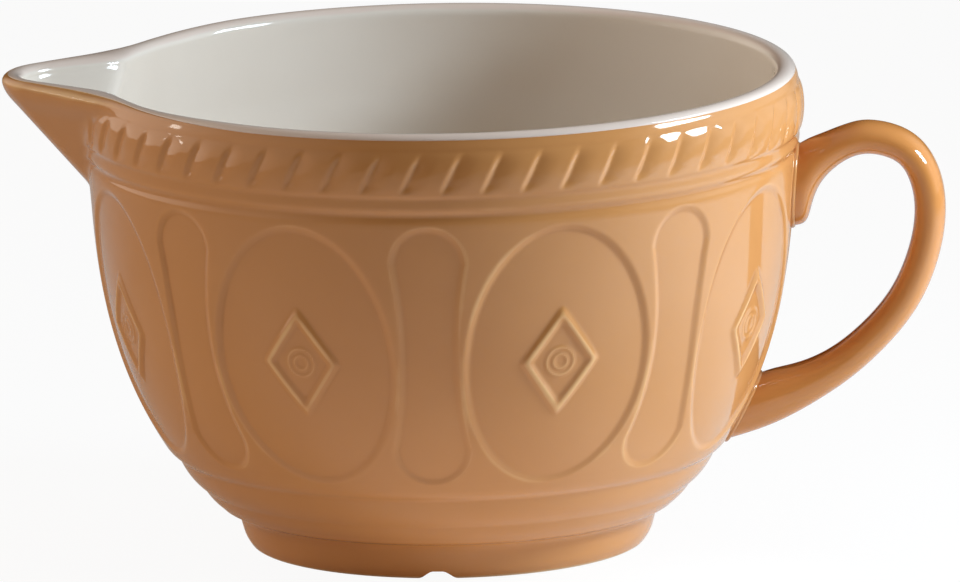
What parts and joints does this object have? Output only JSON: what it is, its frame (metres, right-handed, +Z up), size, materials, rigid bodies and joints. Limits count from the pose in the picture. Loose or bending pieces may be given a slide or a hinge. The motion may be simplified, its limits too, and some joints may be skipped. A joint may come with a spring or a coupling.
{
  "type": "batter bowl",
  "caption": "Deep round mixing bowl with a pouring spout, a strap handle opposite, a rope-moulded rim, sunk oval and slim panels on the wall and a stepped foot.",
  "frame": {"origin": "on the bowl's axis at the resting plane under the foot ring", "axes": "+X from the bowl's axis to the handle, -X to the spout, +Z up along the bowl's axis; the drain notch in the foot is at -Y"},
  "size_m": [0.2924, 0.2252, 0.149],
  "materials": {
    "cane_glaze": "clear gloss glaze over a cane-coloured earthenware body",
    "ivory_glaze": "gloss ivory glaze",
    "joining_slip": "cane-coloured joining slip under clear gloss glaze"
  },
  "bodies": {
    "root": {"bowl_body": "cane_glaze", "inside_glaze": "ivory_glaze", "spout": "cane_glaze", "handle": "cane_glaze", "upper_slip": "joining_slip", "lower_slip": "joining_slip"}
  },
  "joints": []
}
